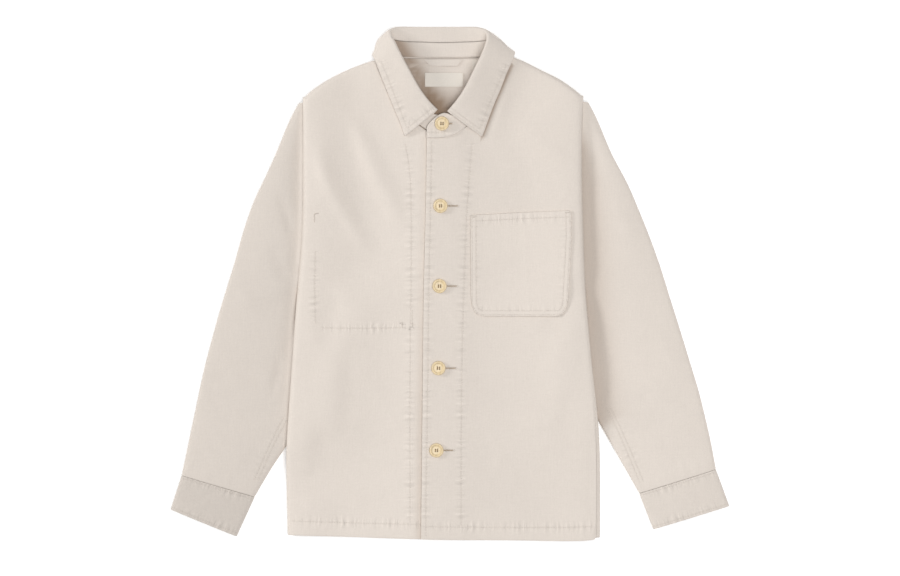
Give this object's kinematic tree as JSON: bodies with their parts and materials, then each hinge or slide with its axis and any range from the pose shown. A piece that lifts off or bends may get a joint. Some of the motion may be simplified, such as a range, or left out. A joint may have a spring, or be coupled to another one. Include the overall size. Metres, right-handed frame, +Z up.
{
  "type": "denim jacket",
  "caption": "Undyed denim chore jacket lying flat and buttoned, with a turned-down collar, long sleeves with plain cuffs, a chest patch pocket and a straight hem.",
  "frame": {"origin": "middle of the bounding box's underside, on the surface that the jacket lies on", "axes": "+X across the jacket towards the wearer's left sleeve, +Y up the jacket to the collar, +Z up from the surface"},
  "size_m": [0.8092, 0.7448, 0.0291],
  "materials": {
    "denim": "undyed cotton denim twill",
    "tape": "plain woven tape",
    "button": "straw coloured, polished"
  },
  "bodies": {
    "root": {"back": "denim", "front_left": "denim", "front_right": "denim", "sleeve_left": "denim", "sleeve_right": "denim", "cuff_left": "denim", "cuff_right": "denim", "collar": "denim", "collar_stand": "denim", "chest_pocket": "denim", "hanger_loop": "denim", "neck_label": "tape", "size_tag": "tape", "button_1": "button", "button_2": "button", "button_3": "button", "button_4": "button", "button_5": "button"}
  },
  "joints": []
}
